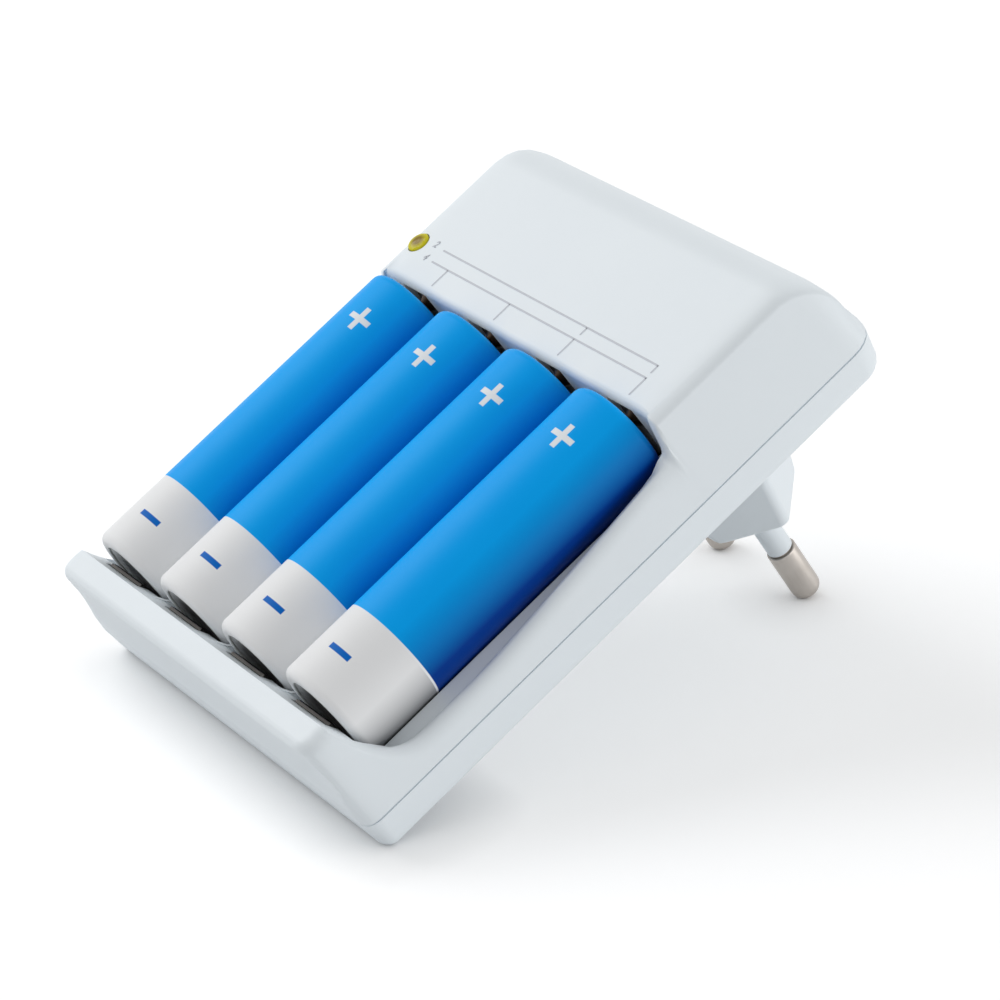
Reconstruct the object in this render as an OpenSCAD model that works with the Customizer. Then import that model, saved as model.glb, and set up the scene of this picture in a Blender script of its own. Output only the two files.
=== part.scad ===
// Plug-in charger for four round cells, with a two-pin plug moulded on its back.
// Every piece is drawn lying on its back: x across, y up along the cells from their lower ends,
// z out of the front from the plane where the two covers meet. plugged_in() then stands it
// upright as it hangs on its plug, with the origin on the plug's face between the pins.

/* [Cells] */
// Diameter of a cell
cell_d = 14.5; // [13.9:0.1:14.9]
// Length of a cell with its raised terminal
cell_len = 50.5; // [47:0.5:56]
// Diameter of the raised terminal
nub_d = 5.5; // [4:0.1:7]
// Height of the raised terminal
nub_h = 1.2; // [0.8:0.1:1.6]
// Round shoulder of the wrapping at both ends of a cell
shoulder_r = 1.1; // [0.6:0.1:1.4]
// Distance between the axes of two neighbours
cell_pitch = 16; // [15.6:0.1:19]

/* [Bay] */
// Air between a cell and its channel
cell_gap = 0.25; // [0.1:0.05:0.4]
// Air beside the outer cells
side_gap = 0.6; // [0.4:0.1:1.2]
// Air between a raised terminal and the head wall
head_gap = 0.5; // [0.3:0.1:1]
// Air between a cell's lower end and the lip
lip_gap = 0.5; // [0.4:0.1:2]
// Lowest line of a channel above the parting plane
floor_lift = 0.5; // [0.2:0.1:1.5]
// Floor left under a channel
floor_t = 1.8; // [1.4:0.1:2]
// Top of the low ribs between the cells
rib_top = 3.5; // [2.5:0.1:5]
// Reach of the small dividers from the lip into the bay
divider_reach = 1.1; // [0.9:0.1:1.6]
// Top of the dividers below the lip
divider_drop = 2.1; // [1.5:0.1:4]
// Air between a divider and the cells
divider_gap = 0.2; // [0.1:0.05:0.4]

/* [Covers] */
// Wall of both covers
wall = 2; // [1.6:0.1:2.4]
// Side wall beside the bay, at the parting plane
side_wall = 3.15; // [2.8:0.05:5]
// Head face above the parting plane
front_h = 12.2; // [11.6:0.1:15]
// Head from the end of the bay to the top end
head_len = 28.6; // [27.5:0.1:38]
// Wall between the bay and the head
head_wall = 1.6; // [1.2:0.1:2.2]
// Depth of the rear cover
rear_depth = 5.5; // [5.3:0.1:9]
// Lean of the sides over the height of the head
side_lean = 2.9; // [2:0.1:4]
// Softness of the side rims
rim_soft = 2; // [1:0.1:2.6]
// Softness of the head's long edges, down the side
head_soft = 1.3; // [0.6:0.1:2]
// Softness of the head's long edges, across the face
face_soft = 4.2; // [1.5:0.1:5]
// Further softness where those edges reach the top end
corner_soft = 0.5; // [0.2:0.1:3]
// Lean of the top end
end_lean = 1.2; // [0.6:0.1:2]
// Height of the top end below its round edge
end_rise = 5.2; // [4.5:0.1:9]
// Length of that round edge on the head face
end_round = 6.6; // [2:0.1:8]
// Plan corners at the top end
corner_top = 4.2; // [2:0.1:5]
// Plan corners at the lower end
corner_low = 2.2; // [1.5:0.1:5]
// Round edge of the head beside the bay
bay_edge = 1.1; // [0.4:0.1:1.3]
// Round edge of the rear face
rear_edge = 2.2; // [1:0.1:3]
// Half of the fine groove where the covers meet
seam = 0.12; // [0.08:0.01:0.3]
// Depth of that groove
groove = 0.3; // [0.2:0.1:0.8]

/* [Scoop and lip] */
// Lip above the parting plane
lip_h = 12.7; // [12:0.1:14]
// Thickness of the lip
lip_len = 5.7; // [4.6:0.1:8]
// Round edge of the lip beside the bay
lip_edge = 0.6; // [0.3:0.1:1.2]
// Outer roll of the lip
lip_roll = 1.3; // [0.8:0.1:3]
// Hollow in the outer face of the lip
lip_hollow = 0.5; // [0.2:0.1:1]
// Lowest side rim above the parting plane
rim_low = 3.6; // [3:0.1:5]
// Length over which the rim falls from the lip
rim_fall = 10; // [6:0.5:14]
// Side rim where it reaches the head
rim_head = 7.3; // [6:0.1:8.5]
// Length over which the rim climbs to the head
rim_climb = 36; // [24:1:40]
// Round corner between the rim and the head
rim_corner = 2.4; // [1.5:0.1:3.4]

/* [Plug] */
// Pin line above the end of the bay
plug_up = 10.9; // [10:0.1:13]
// Width of the plug face from point to point
plug_w = 36.6; // [33:0.1:38]
// Thickness of the plug face
plug_t = 13.7; // [12:0.1:15]
// Plug block behind the rear face
plug_reach = 20; // [14:0.5:24]
// Growth of the block on each side, toward the body
plug_flare = 5.3; // [3:0.1:7]
// End wall of the plug block
plug_end = 4; // [3:0.1:6]
// Round edges of the block
plug_round = 1.2; // [0.6:0.1:2]
// Distance between the pins
pin_pitch = 19; // [18:0.1:20]
// Diameter of a bare pin end
pin_d = 4; // [3.9:0.05:4.1]
// Length of a pin outside the plug face
pin_len = 17.2; // [16:0.1:20]
// Diameter of the core under a sleeve
pin_core_d = 3; // [2.6:0.1:3.2]
// Diameter of an insulating sleeve
sleeve_d = 3.5; // [3.4:0.05:3.65]
// Length of a sleeve outside the plug face
sleeve_len = 8.5; // [8:0.1:11]
// Depth of a sleeve in the plug face
sleeve_seat = 2; // [1:0.1:2.5]
// Air round the pins and sleeves
pin_gap = 0.05; // [0.02:0.01:0.1]

/* [Contacts] */
// Thickness of the contact sheet
sheet_t = 0.4; // [0.3:0.05:0.5]
// Depth of the recess for a positive contact
recess_depth = 1.4; // [1.2:0.1:2]
// Width of that recess at its foot
recess_foot_w = 7.2; // [6.8:0.1:14]
// Width of that recess at its top
recess_top_w = 5.6; // [5:0.1:11]
// Diameter of the pressed cone of a positive contact
dimple_d = 3.2; // [2.4:0.1:3.4]
// Width of a leaf spring
leaf_w = 8; // [6:0.1:9]
// Width of the strips that run to the board
strip_w = 2; // [1.4:0.1:2.2]
// Distance of the strips from a cell's axis
strip_off = 2.2; // [1.8:0.1:2.3]
// Air between a contact and its cell
touch_gap = 0.2; // [0.1:0.05:0.3]
// Air round a contact in its recess
contact_gap = 0.15; // [0.1:0.05:0.3]

/* [Board and screws] */
// Thickness of the circuit board
board_t = 1.6; // [1.2:0.1:1.8]
// Underside of the board below the parting plane
board_drop = 1.5; // [1.3:0.1:1.8]
// Air round the board
board_gap = 0.4; // [0.3:0.1:0.8]
// Diameter of the indicator lamp
led_d = 3; // [2.4:0.1:3.2]
// Indicator lamp from the edge of the head face
led_in = 2.4; // [2.2:0.1:4]
// Indicator lamp above the end of the bay
led_up = 5.6; // [5:0.1:8]
// Thread diameter of a cover screw
screw_d = 2.2; // [1.8:0.1:2.4]
// Head diameter of a cover screw
screw_head_d = 3.9; // [3.4:0.1:4.1]
// Head height of a cover screw
screw_head_h = 1.3; // [1:0.1:1.4]
// Thread length in the front cover
screw_grip = 3.6; // [3:0.1:4]
// Diameter of a screw post
post_d = 5.2; // [4.8:0.1:5.6]

/* [Hidden] */
$fn = 48;
CELLS = 4;

eps = 0.01;
white = "#eef0f4";
nickel = "#b9b6b0";

// Main heights and lengths
cell_r = cell_d / 2;
cell_z = floor_lift + cell_gap + cell_r;
head_y = cell_len + head_gap;
lip_y = -lip_gap;
low_y = lip_y - lip_len;
top_y = head_y + head_len;
bay_half = (CELLS - 1) / 2 * cell_pitch + cell_r + side_gap;
half_w = bay_half + side_wall;
slab_z = floor_lift - floor_t;
head_in_y = head_y + recess_depth + head_wall;
rear_in_z = wall - rear_depth;
end_in_y = top_y - end_lean - wall;
plug_y = head_y + plug_up;
plug_z = -rear_depth - plug_reach;
tall = 2 * front_h;

// Contacts and board
board_z = -board_drop;
board_y = head_in_y + board_gap;
strip_end_y = board_y + strip_w;
leaf_wall = 2.5;
leaf_back = lip_len - leaf_wall;
leaf_bow = 5;
leaf_tip = 1.8;
leaf_room = 0.6;
recess_top_z = front_h - bay_edge;
pocket_top_z = cell_z + leaf_tip + leaf_room;

// Screw places: two posts in the head, two under the ribs between the outer cells
post_in_x = 7.5;
post_in_y = 8;
rib_screw_y = 9;
screw_sink = screw_head_h + 0.3;
screw_spots = [
    [half_w - post_in_x, top_y - post_in_y],
    [post_in_x - half_w, top_y - post_in_y],
    [cell_pitch, rib_screw_y],
    [-cell_pitch, rib_screw_y]
];
screw_air = 0.05;
shelf_y = top_y - post_in_y - post_d / 2 - board_gap;
pilot_spare = 0.4;

// Indicator lamp
led_x = led_in + side_lean - half_w;
led_y = head_y + led_up;
led_foot = 3.4;
led_flange = 0.4;

function cell_x(i) = (i - (CELLS + 1) / 2) * cell_pitch;
function clamp(v) = max(0, min(1, v));
function ease(v) = let (t = clamp(v)) t * t * (3 - 2 * t);
function mix(a, b, t) = a + (b - a) * t;

// Outer form of the front cover, as cross-sections along y

// What a plan corner of radius r takes off the half width, d past the corner's start
function corner_loss(r, d) = d <= 0 ? 0 : r - sqrt(max(0, r * r - d * d));
function half_at(y) =
    half_w
    - corner_loss(corner_low, low_y + corner_low - y)
    - corner_loss(corner_top, y - top_y + corner_top);

// Height of the side rim: falls from the lip, runs low, then climbs to the head
fall_lead = 1.7;
climb_bend = 1.2;
function rim_from_lip(y) = pow(1 - clamp((y - lip_y + fall_lead) / rim_fall), 3);
function rim_to_head(y) = pow(clamp((y - head_y + rim_climb) / rim_climb), climb_bend);
function rim_turn(y) = corner_loss(rim_corner, min(y - head_y + rim_corner, rim_corner));
function rim(y) =
    rim_low + (lip_h - rim_low) * rim_from_lip(y) + (rim_head - rim_low) * rim_to_head(y) + rim_turn(y);

// The rim steps up to the head face just before the end of the bay
face_step = 1.4;
function face_blend(y) = ease((y - head_y + face_step) / face_step);

// The head face rolls over a round edge into the top end, and the lip rolls over its outer edge
end_foot = 1.5;
end_y = top_y - end_lean - end_round;
function end_slope(y) = clamp((y - end_y) / end_round);
function end_fall(y) = clamp((y - top_y + end_lean) / end_lean);
function roll_slope(y) = clamp((low_y + lip_roll - y) / lip_roll);
function quarter(t) = 1 - sqrt(1 - t * t);
function top_at(y) =
    mix(rim(y), front_h, face_blend(y))
    - (front_h - end_rise) * quarter(end_slope(y))
    - (end_rise - end_foot) * end_fall(y)
    - lip_roll * quarter(roll_slope(y));
function soft_down(y) =
    min(mix(rim_soft, head_soft, face_blend(y)) + corner_soft * end_slope(y), top_at(y) - 3 * seam);
function soft_across(y) =
    mix(rim_soft, face_soft, face_blend(y)) + 2 * corner_soft * end_slope(y);

SOFT_STEPS = 8;
function bezier(a, b, c, t) = a * pow(1 - t, 2) + b * 2 * t * (1 - t) + c * pow(t, 2);
// Right half of a section, from the parting plane up to the flat top
function half_section(y, inset, base) =
    let (
        yo = y + inset,
        top = top_at(yo) - inset,
        soft = min(soft_down(yo), top - 2 * seam),
        w = half_at(yo) - inset,
        slope = side_lean / front_h,
        foot = inset > 0 ? [[w, base]] : [[w - groove, base], [w - groove, base + seam], [w, base + seam]],
        a = [w - slope * (top - soft), top - soft],
        b = [w - slope * top, top],
        c = b - [soft_across(yo), 0]
    )
    concat(foot, [for (k = [0 : SOFT_STEPS]) bezier(a, b, c, k / SOFT_STEPS)]);
function section(y, inset, base) =
    let (half = half_section(y, inset, base), n = len(half))
    concat(
        [for (p = half) [p[0], y, p[1]]],
        [for (k = [1 : n]) [-half[n - k][0], y, half[n - k][1]]]
    );

FALL_STEPS = 14;
CLIMB_STEPS = 12;
TURN_STEPS = 8;
fall_end_y = lip_y - fall_lead + rim_fall;
turn_y = head_y - rim_corner;
step_y = head_y - face_step;
roll_stations = [for (t = [0 : 15 : 90]) low_y + lip_roll * (1 - cos(t))];
fall_stations = [for (k = [1 : FALL_STEPS]) mix(low_y + lip_roll, fall_end_y, k / FALL_STEPS)];
climb_stations = [for (k = [1 : CLIMB_STEPS]) mix(fall_end_y, turn_y, k / CLIMB_STEPS)];
turn_stations = [for (k = [1 : TURN_STEPS]) mix(turn_y, step_y, k / TURN_STEPS)];
step_stations = [for (k = [1 : TURN_STEPS]) mix(step_y, head_y, k / TURN_STEPS)];
end_stations = [for (t = [0 : 15 : 90]) end_y + end_round * sin(t)];
wall_stations = [for (t = [30 : 15 : 90]) top_y - end_lean * (1 - sin(t))];
outer_stations = concat(
    roll_stations, fall_stations, climb_stations, turn_stations, step_stations,
    end_stations, wall_stations
);
inner_stations = concat([head_in_y], [for (y = end_stations) y - wall]);

// Closed solid through a list of rings that all have as many points
module skin(rings) {
    n = len(rings[0]);
    m = len(rings);
    sides = [
        for (i = [0 : m - 2]) for (j = [0 : n - 1]) for (half = [0, 1])
            let (
                a = i * n + j,
                b = i * n + (j + 1) % n,
                c = a + n,
                d = b + n
            )
            half == 0 ? [a, b, c] : [b, d, c]
    ];
    first = [[for (j = [0 : n - 1]) n - 1 - j]];
    last = [[for (j = [0 : n - 1]) (m - 1) * n + j]];
    polyhedron([for (r = rings) for (p = r) p], concat(first, sides, last), convexity = 8);
}

// Bar along x with an outline drawn in y and z
module bar_along_x(half) {
    rotate([90, 0, 90])
        translate([0, 0, -half])
            linear_extrude(2 * half)
                children();
}

// Bar along y with an outline drawn in x and z
module bar_along_y(from, to) {
    translate([0, to, 0])
        rotate([90, 0, 0])
            linear_extrude(to - from)
                children();
}

// Cuts a round edge of radius r: the solid lies toward -u and -v of the corner
module round_edge_2d(r) {
    difference() {
        translate([-r, -r])
            square(r + 1);
        translate([-r, -r])
            circle(r);
    }
}

module bay_cut() {
    lean = side_lean * (tall - cell_z) / front_h;
    bar_along_y(lip_y, head_y)
        polygon([
            [-bay_half, rib_top], [bay_half, rib_top], [bay_half, cell_z],
            [bay_half - lean, tall], [lean - bay_half, tall], [-bay_half, cell_z]
        ]);
    for (i = [1 : CELLS])
        translate([cell_x(i), head_y, cell_z])
            rotate([90, 0, 0])
                cylinder(h = head_y - lip_y, r = cell_r + cell_gap);
    // Round edges of the head and of the lip along the bay
    bar_along_x(bay_half - bay_edge)
        translate([head_y, front_h])
            mirror([1, 0])
                round_edge_2d(bay_edge);
    bar_along_x(half_w)
        translate([lip_y, lip_h])
            round_edge_2d(lip_edge);
}

module recess_2d(air) {
    foot = floor_lift + 2 * air;
    polygon([
        [air - recess_foot_w / 2, foot - air], [recess_foot_w / 2 - air, foot - air],
        [recess_foot_w / 2 - air, cell_z - air], [recess_top_w / 2 - air, recess_top_z - air],
        [air - recess_top_w / 2, recess_top_z - air], [air - recess_foot_w / 2, cell_z - air]
    ]);
}

// Recess of a positive contact, with a slot in the floor for its tail
module recess_cut() {
    bar_along_y(head_y - eps, head_y + recess_depth)
        recess_2d(0);
    translate([-strip_off - strip_w / 2 - contact_gap, head_y + recess_depth - 2 * sheet_t, slab_z - 1])
        cube([strip_w + 2 * contact_gap, 2 * sheet_t, floor_t + 2]);
}

// Pocket of a leaf spring in the lip, open to the bay and to the back
module pocket_cut() {
    w = leaf_w + 4 * contact_gap;
    translate([-w / 2, lip_y - leaf_back, slab_z - 1])
        cube([w, leaf_back + eps, pocket_top_z - slab_z + 1]);
    translate([-w / 2, lip_y - eps, slab_z - 1])
        cube([w, sheet_t, floor_lift - slab_z + 1 + cell_gap]);
}

module lip_hollow_cut() {
    r = 5 * lip_h / 4;
    rotate([0, 90, 0])
        translate([-lip_h / 2, low_y - r + lip_hollow, -half_w])
            cylinder(h = 2 * half_w, r = r, $fn = 96);
}

// Small posts on the lip between the lower ends of the cells
module lip_dividers() {
    half = (cell_pitch - cell_d) / 2 - divider_gap;
    top = lip_h - divider_drop;
    for (i = [1 : CELLS - 1])
        translate([cell_x(i) + cell_pitch / 2, 0, 0])
            bar_along_x(half)
                polygon([
                    [lip_y - 1, rib_top - 1], [lip_y + divider_reach, rib_top - 1],
                    [lip_y + divider_reach, top - half], [lip_y + divider_reach - half, top],
                    [lip_y - 1, top]
                ]);
}

module front_cover() {
    color(white)
    difference() {
        union() {
            difference() {
                union() {
                    skin([for (y = outer_stations) section(y, 0, 0)]);
                    translate([-bay_half, lip_y, slab_z])
                        cube([2 * bay_half, head_in_y - lip_y, 3 * floor_t]);
                }
                skin([for (y = inner_stations) section(y, wall, -2 * wall)]);
                bay_cut();
            }
            lip_dividers();
            for (k = [0, 1])
                translate([screw_spots[k][0], screw_spots[k][1], slab_z])
                    cylinder(h = front_h - wall + seam - slab_z, d = post_d);
        }
        lip_hollow_cut();
        for (i = [1 : CELLS])
            translate([cell_x(i), 0, 0]) {
                recess_cut();
                pocket_cut();
            }
        for (spot = screw_spots)
            translate([spot[0], spot[1], slab_z - eps])
                cylinder(h = screw_grip + pilot_spare, d = screw_d + 2 * screw_air);
        translate([led_x, led_y, 0])
            cylinder(h = tall, d = led_d + 2 * contact_gap);
        translate([led_x, led_y, board_t])
            cylinder(h = front_h - wall - board_t, d = led_d + 4 * led_flange);
    }
}

// Outer form of the rear cover, as plan outlines down the depth.
// low_out keeps the lower end flush where the groove stops at the lip.

CORNER_STEPS = 6;
function corner_points(cx, cy, r, from) =
    [for (k = [0 : CORNER_STEPS])
        let (t = from + 90 * k / CORNER_STEPS) [cx + r * cos(t), cy + r * sin(t)]];
function plan_ring(inset, z, low_out = 0) =
    let (
        top_corner = max(corner_top, inset + seam),
        low_corner = max(corner_low, inset + seam),
        xt = half_w - top_corner,
        xl = half_w - low_corner,
        rt = top_corner - inset,
        rl = low_corner - inset,
        yt = top_y - top_corner,
        yl = low_y + low_corner - low_out
    )
    [for (p = concat(
        corner_points(xt, yt, rt, 0),
        corner_points(-xt, yt, rt, 90),
        corner_points(-xl, yl, rl, 180),
        corner_points(xl, yl, rl, 270)
    )) [p[0], p[1], z]];

rear_lean = 0.4;
rear_rings = concat(
    [plan_ring(groove, 0, groove), plan_ring(groove, -seam, groove), plan_ring(0, -seam)],
    [for (t = [0 : 15 : 90])
        plan_ring(rear_lean + rear_edge * (1 - cos(t)), rear_edge * (1 - sin(t)) - rear_depth)]
);
rear_hollow_rings = [plan_ring(wall, eps), plan_ring(wall + rear_lean, rear_in_z)];

// Six-sided plug outline with points toward both sides, all corners rounded
function hex_ring(grow, z) =
    let (
        a = plug_w / 2 + grow,
        b = plug_t / 2 + grow,
        tip = plug_round * sqrt(2),
        side = plug_round * tan(22.5),
        c = a - b
    )
    [for (p = concat(
        [for (t = [-45 : 15 : 45]) [a - tip + plug_round * cos(t), plug_round * sin(t)]],
        [for (t = [45 : 15 : 90]) [c - side + plug_round * cos(t), b - plug_round + plug_round * sin(t)]],
        [for (t = [90 : 15 : 135]) [side - c + plug_round * cos(t), b - plug_round + plug_round * sin(t)]],
        [for (t = [135 : 15 : 225]) [tip - a + plug_round * cos(t), plug_round * sin(t)]],
        [for (t = [225 : 15 : 270]) [side - c + plug_round * cos(t), plug_round - b + plug_round * sin(t)]],
        [for (t = [270 : 15 : 315]) [c - side + plug_round * cos(t), plug_round - b + plug_round * sin(t)]]
    )) [p[0], plug_y + p[1], z]];
function flare_at(z) = plug_flare * (z - plug_z) / plug_reach;

plug_edge = 0.8;
plug_rings = concat(
    [hex_ring(flare_at(-rear_depth + wall / 2), -rear_depth + wall / 2)],
    [for (t = [0 : 30 : 90])
        let (z = plug_z + plug_edge * (1 - sin(t)))
        hex_ring(flare_at(z) - plug_edge * (1 - cos(t)), z)]
);
plug_hollow_rings = [
    hex_ring(flare_at(rear_in_z + eps) - wall, rear_in_z + eps),
    hex_ring(flare_at(plug_z + plug_end) - wall, plug_z + plug_end)
];
pin_boss_d = pin_d + 2 * wall;
pin_boss_h = plug_reach / 2;
stand_d = 3;
stand_in = 8.5;
stand_x = half_w - stand_in;

module pin_places() {
    for (s = [-1, 1])
        translate([s * pin_pitch / 2, plug_y, 0])
            children();
}

module rear_cover() {
    color(white)
    difference() {
        union() {
            difference() {
                union() {
                    skin(rear_rings);
                    skin(plug_rings);
                }
                skin(rear_hollow_rings);
                skin(plug_hollow_rings);
            }
            for (spot = screw_spots)
                translate([spot[0], spot[1], rear_in_z - wall / 2])
                    cylinder(h = slab_z + wall / 2 - rear_in_z, d = post_d);
            for (s = [-1, 1])
                translate([s * stand_x, plug_y, rear_in_z - wall / 2])
                    cylinder(h = board_z - rear_in_z + wall / 2, d = stand_d);
            pin_places()
                translate([0, 0, plug_z + plug_end / 2])
                    cylinder(h = pin_boss_h, d = pin_boss_d);
        }
        for (spot = screw_spots)
            translate([spot[0], spot[1], -rear_depth - 1]) {
                cylinder(h = rear_depth + 2, d = screw_d + 2 * screw_air);
                cylinder(h = screw_sink + 1, d = screw_head_d + 4 * screw_air);
            }
        pin_places() {
            translate([0, 0, plug_z - 1])
                cylinder(h = plug_reach, d = pin_core_d + 2 * pin_gap);
            translate([0, 0, plug_z - 1])
                cylinder(h = sleeve_seat + 1, d = sleeve_d + 2 * pin_gap);
        }
    }
}

// Pin with a thin core through the block and a full, round-nosed end past its sleeve
module plug_pin(s) {
    nose = 0.75 * pin_d / 2;
    color(nickel)
    translate([s * pin_pitch / 2, plug_y, 0])
        rotate_extrude()
            union() {
                translate([0, plug_z - sleeve_len - eps])
                    square([pin_core_d / 2, board_z - plug_z + sleeve_len + eps]);
                translate([0, plug_z - pin_len + nose])
                    square([pin_d / 2, pin_len - sleeve_len - nose]);
                translate([0, plug_z - pin_len])
                    square([pin_d / 2 - nose, nose + eps]);
                intersection() {
                    translate([pin_d / 2 - nose, plug_z - pin_len + nose])
                        circle(nose);
                    translate([0, plug_z - pin_len])
                        square([pin_d, nose]);
                }
            }
}

module pin_sleeve(s) {
    color(white)
    translate([s * pin_pitch / 2, plug_y, plug_z - sleeve_len])
        difference() {
            cylinder(h = sleeve_len + sleeve_seat, d = sleeve_d);
            translate([0, 0, -1])
                cylinder(h = sleeve_len + sleeve_seat + 2, d = pin_core_d + 2 * pin_gap);
        }
}

// Sealed round cell: wrapped can with round shoulders, a bare lower end and a raised terminal
bare_r = 5.4;
bare_depth = 0.25;
module cell(i) {
    top = cell_len - nub_h;
    color("#1c83dd")
    translate([cell_x(i), 0, cell_z])
        rotate([-90, 0, 0])
            rotate_extrude($fn = 96)
                difference() {
                    union() {
                        translate([0, shoulder_r])
                            square([cell_r, top - 2 * shoulder_r]);
                        square([cell_r - shoulder_r, top]);
                        for (v = [shoulder_r, top - shoulder_r])
                            translate([cell_r - shoulder_r, v])
                                circle(shoulder_r);
                        translate([0, top - eps])
                            square([nub_d / 2, nub_h + eps]);
                    }
                    translate([0, -1])
                        square([bare_r, bare_depth + 1]);
                }
}

// Stamped plate with a pressed cone toward the terminal and a tail to the board
module positive_contact(i) {
    back = head_y + recess_depth;
    tail_x = -strip_off - strip_w / 2;
    cone_h = back - sheet_t - cell_len - touch_gap;
    color("#6b5a4c")
    translate([cell_x(i), 0, 0]) {
        bar_along_y(back - sheet_t, back)
            recess_2d(contact_gap);
        translate([0, back - sheet_t + eps, cell_z])
            rotate([90, 0, 0])
                cylinder(h = cone_h + eps, d1 = dimple_d, d2 = dimple_d / 2);
        translate([tail_x, back - sheet_t, board_z - sheet_t])
            cube([strip_w, sheet_t, floor_lift + 1 - board_z]);
        translate([tail_x, back - sheet_t, board_z - sheet_t])
            cube([strip_w, strip_end_y - back + sheet_t, sheet_t]);
    }
}

// Leaf spring bowed toward the lower end of a cell, with a strip under the floor to the board
LEAF_STEPS = 14;
module negative_contact(i) {
    back_y = lip_y - leaf_back + contact_gap;
    bow_z = cell_z - leaf_bow;
    reach = -touch_gap - sheet_t - back_y;
    heights = [for (k = [0 : LEAF_STEPS]) mix(bow_z, cell_z + leaf_tip, k / LEAF_STEPS)];
    function bow(z) = back_y + reach * sin(90 * (z - bow_z) / leaf_bow);
    rear_side = [for (z = heights) [bow(z), z]];
    front_side = [for (k = [0 : LEAF_STEPS]) rear_side[LEAF_STEPS - k] + [sheet_t, 0]];
    color(nickel)
    translate([cell_x(i), 0, 0]) {
        bar_along_x(leaf_w / 2)
            polygon(concat(
                [[back_y, board_z - sheet_t]], rear_side, front_side,
                [[back_y + sheet_t, board_z - sheet_t]]
            ));
        translate([strip_off - strip_w / 2, back_y, board_z - sheet_t])
            cube([strip_w, strip_end_y - back_y, sheet_t]);
    }
}

module circuit_board() {
    post_x = half_w - post_in_x - post_d / 2 - board_gap;
    wide = half_w - wall - rear_lean - board_gap;
    color("#3f7a46")
    translate([0, 0, board_z]) {
        translate([-wide, board_y, 0])
            cube([2 * wide, shelf_y - board_y, board_t]);
        translate([-post_x, board_y, 0])
            cube([2 * post_x, end_in_y - board_gap - board_y, board_t]);
    }
}

board_top = board_z + board_t;

// Domed lamp with a flange and two legs down to the board
module status_led() {
    flange_h = 0.9;
    foot_z = front_h - led_foot;
    leg_d = 0.5;
    leg_pitch = 1.27;
    color("#b3a52a")
    translate([led_x, led_y, 0]) {
        translate([0, 0, foot_z])
            cylinder(h = led_foot - led_d / 4, d = led_d);
        intersection() {
            translate([0, 0, front_h - led_d / 4])
                sphere(d = led_d);
            translate([-led_d, -led_d, front_h - led_d / 4 - eps])
                cube(2 * led_d);
        }
        translate([0, 0, foot_z])
            cylinder(h = flange_h, d = led_d + 2 * led_flange);
        for (s = [-1, 1])
            translate([0, s * leg_pitch / 2, board_top])
                cylinder(h = foot_z - board_top + flange_h / 2, d = leg_d);
    }
}

// Four self-tapping screws from the back, with crossed slots in their heads
module cover_screws() {
    head_z = screw_sink - rear_depth - screw_head_h;
    slot_w = 0.6;
    slot_h = 0.6;
    color("#8d9094")
    for (spot = screw_spots)
        translate([spot[0], spot[1], head_z])
            difference() {
                union() {
                    cylinder(h = screw_head_h, d = screw_head_d);
                    cylinder(h = slab_z + screw_grip - head_z, d = screw_d);
                }
                for (turn = [0, 90])
                    rotate([0, 0, turn])
                        translate([-screw_head_d / 3, -slot_w / 2, -eps])
                            cube([screw_head_d * 2 / 3, slot_w, slot_h]);
            }
}

// Parts on the board

core_size = [14, 12, 5];
core_leg = 4;
core_edge = 2;
bobbin_room = 1.5;
bobbin_h = front_h - wall - board_top - bobbin_room;
bobbin_air = 0.15;
roof_y = end_y + end_round / 2;
transformer_spot = [0, roof_y - core_size[1] / 2, board_top + bobbin_h / 2];
mains_can_d = 8;
mains_can_len = 12;
mains_can_in = 25;
mains_can_up = 1;
output_can_d = 6.3;
output_can_len = 7;
output_can_in = 20;
output_can_end = 0.5;
can_bead = 0.3;
can_bead_up = 1.6;
chip_size = [9.2, 6.2, 3.2];
chip_leg = [0.5, 1.2, 1.4];
chip_lift = 0.4;
chip_pitch = 2.54;
chip_in = 20;
chip_down = 1.2;
leg_wire_d = 0.7;
leg_wire_out = 1;
diode_d = 2.6;
diode_len = 4.6;
DIODES = 4;
diode_in = 9.5;
diode_edge = 0.2;
diode_top_y = shelf_y - diode_edge - diode_d / 2;
diode_pitch = (diode_top_y - board_y - diode_edge - diode_d / 2) / (DIODES - 1);
resistor_d = 3.2;
resistor_len = 8.5;
resistor_in = 17;
resistor_down = 5;

module transformer_core() {
    window_w = (core_size[0] - core_leg) / 2 - core_edge;
    color("#3a3a3c")
    translate(transformer_spot)
        difference() {
            cube(core_size, center = true);
            for (s = [-1, 1])
                translate([s * (core_leg + window_w) / 2, 0, 0])
                    cube([window_w, core_size[1] - 2 * core_edge, core_size[2] + 1], center = true);
        }
}

module transformer_bobbin() {
    window_w = (core_size[0] - core_leg) / 2 - core_edge;
    outer_w = core_leg + 2 * window_w - 2 * bobbin_air;
    length = core_size[1] - 2 * core_edge - 2 * bobbin_air;
    color("#d8b13a")
    translate(transformer_spot)
        difference() {
            cube([outer_w, length, bobbin_h], center = true);
            cube([core_leg + 2 * bobbin_air, length + 1, core_size[2] + 2 * bobbin_air], center = true);
        }
}

module can_capacitor(d, length) {
    rotate_extrude()
        difference() {
            square([d / 2, length]);
            translate([d / 2, can_bead_up])
                circle(can_bead, $fn = 24);
        }
}

module mains_capacitor() {
    color("#24303c")
    translate([mains_can_in - half_w, plug_y + mains_can_up, board_top + mains_can_d / 2])
        rotate([0, -90, 0])
            can_capacitor(mains_can_d, mains_can_len);
}

module output_capacitor() {
    color("#24303c")
    translate([half_w - output_can_in, roof_y - output_can_end - output_can_d / 2, board_top])
        can_capacitor(output_can_d, output_can_len);
}

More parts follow.
